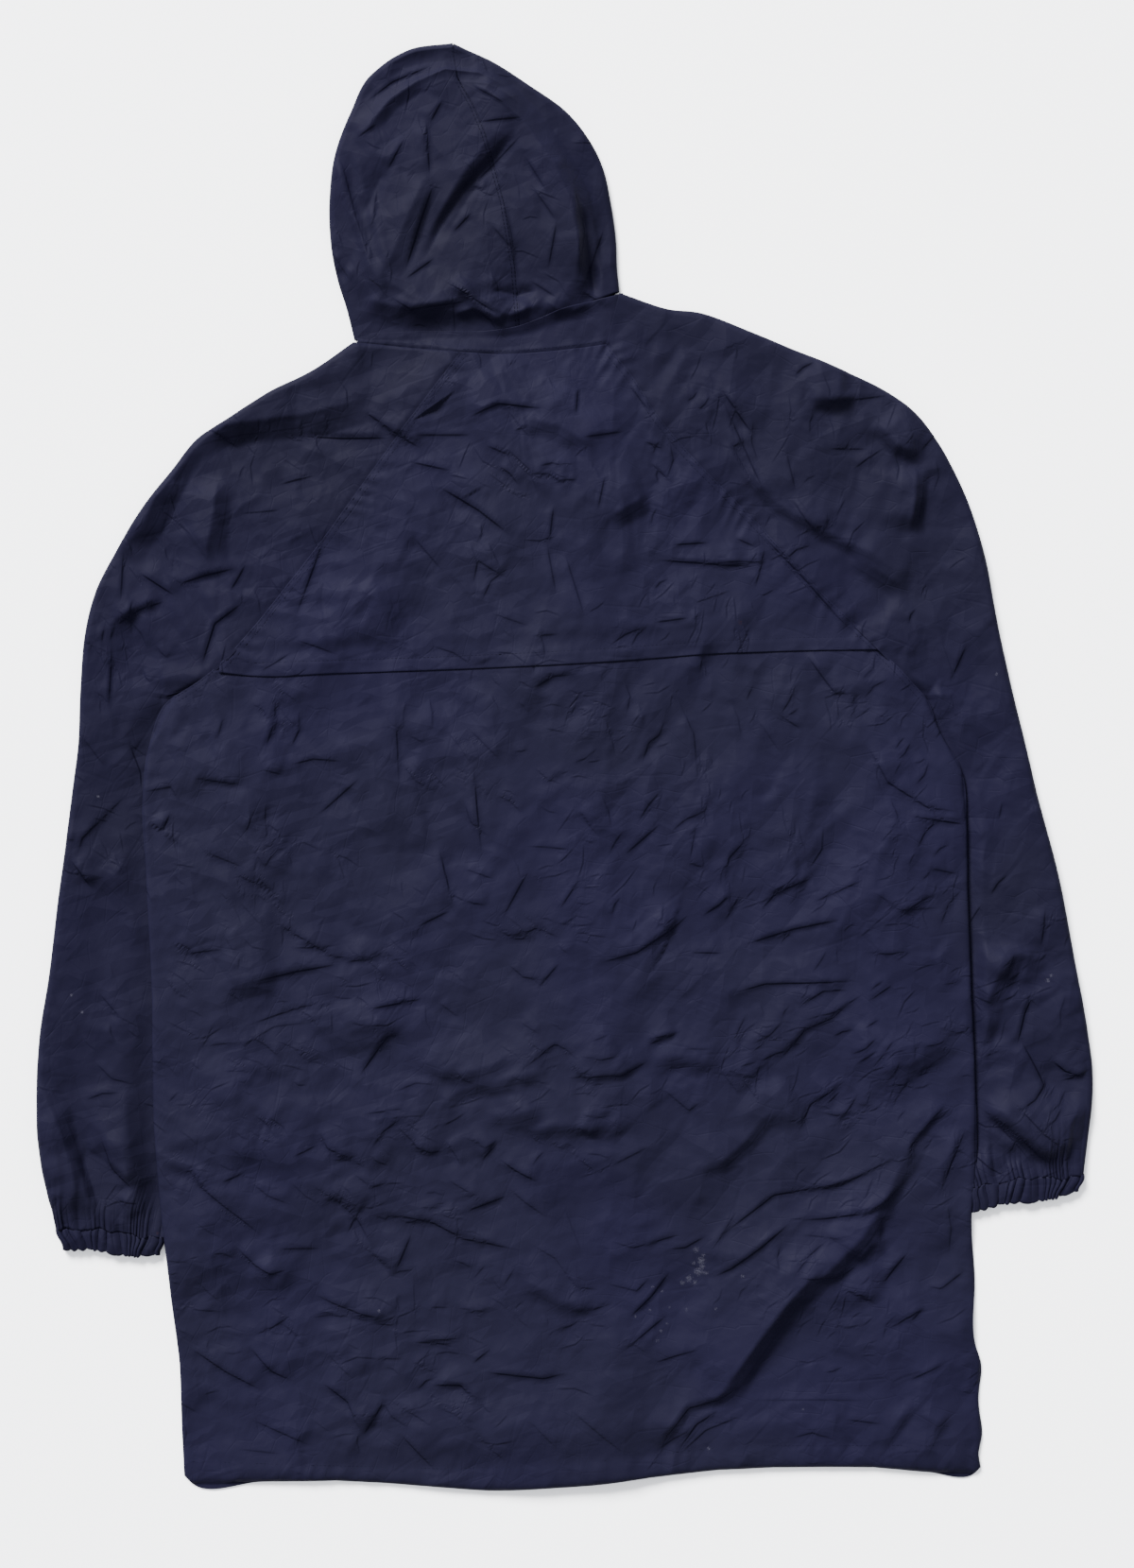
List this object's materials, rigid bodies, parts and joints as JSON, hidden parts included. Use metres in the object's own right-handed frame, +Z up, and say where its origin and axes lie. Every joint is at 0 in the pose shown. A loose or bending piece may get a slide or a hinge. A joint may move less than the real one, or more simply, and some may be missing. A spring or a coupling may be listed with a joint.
{
  "type": "hooded raincoat laid flat",
  "caption": "Hooded nylon raincoat laid flat with its back up: raglan sleeves, back yoke flap, hood, elastic cuffs and hem casing.",
  "frame": {"origin": "middle of the laid coat's outline, on the surface that it lies on", "axes": "+Y from the hem to the hood, +X to the wearer's right, which is the right as seen from the back, +Z up out of the surface"},
  "size_m": [0.87, 1.1915, 0.0209],
  "materials": {
    "nylon_shell": "dark navy coated nylon taffeta with a soft sheen",
    "nylon_casing": "the same nylon, gathered on elastic",
    "stud_cap": "moulded press stud cap in navy"
  },
  "bodies": {
    "root": {"back_panel": "nylon_shell", "back_yoke": "nylon_shell", "front_left": "nylon_shell", "front_right": "nylon_shell", "hood_left": "nylon_shell", "hood_right": "nylon_shell", "neck_band": "nylon_shell", "sleeve_left": "nylon_shell", "sleeve_right": "nylon_shell", "cuff_left": "nylon_casing", "cuff_right": "nylon_casing", "stud_1": "stud_cap", "stud_2": "stud_cap", "stud_3": "stud_cap", "stud_4": "stud_cap", "stud_5": "stud_cap", "stud_6": "stud_cap"}
  },
  "joints": []
}
